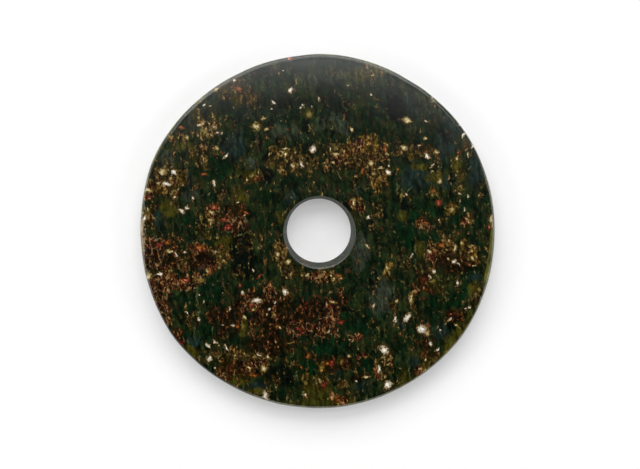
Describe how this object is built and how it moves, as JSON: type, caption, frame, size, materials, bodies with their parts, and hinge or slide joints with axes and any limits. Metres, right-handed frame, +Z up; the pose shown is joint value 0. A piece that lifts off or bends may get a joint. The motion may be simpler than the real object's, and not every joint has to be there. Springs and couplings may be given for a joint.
{
  "type": "jade bi disc",
  "caption": "Flat round stone disc with a drilled central hole and softly rounded edges, lying on its underside.",
  "frame": {"origin": "middle of the underside, on the surface the disc lies on", "axes": "+Z up through the disc's thickness, towards the upper face; +Y towards the smooth, greyer side of the upper face; +X to its right, seen from above"},
  "size_m": [0.1996, 0.1996, 0.012],
  "materials": {
    "jade": "gloss"
  },
  "bodies": {
    "root": {"jade_disc": "jade"}
  },
  "joints": []
}
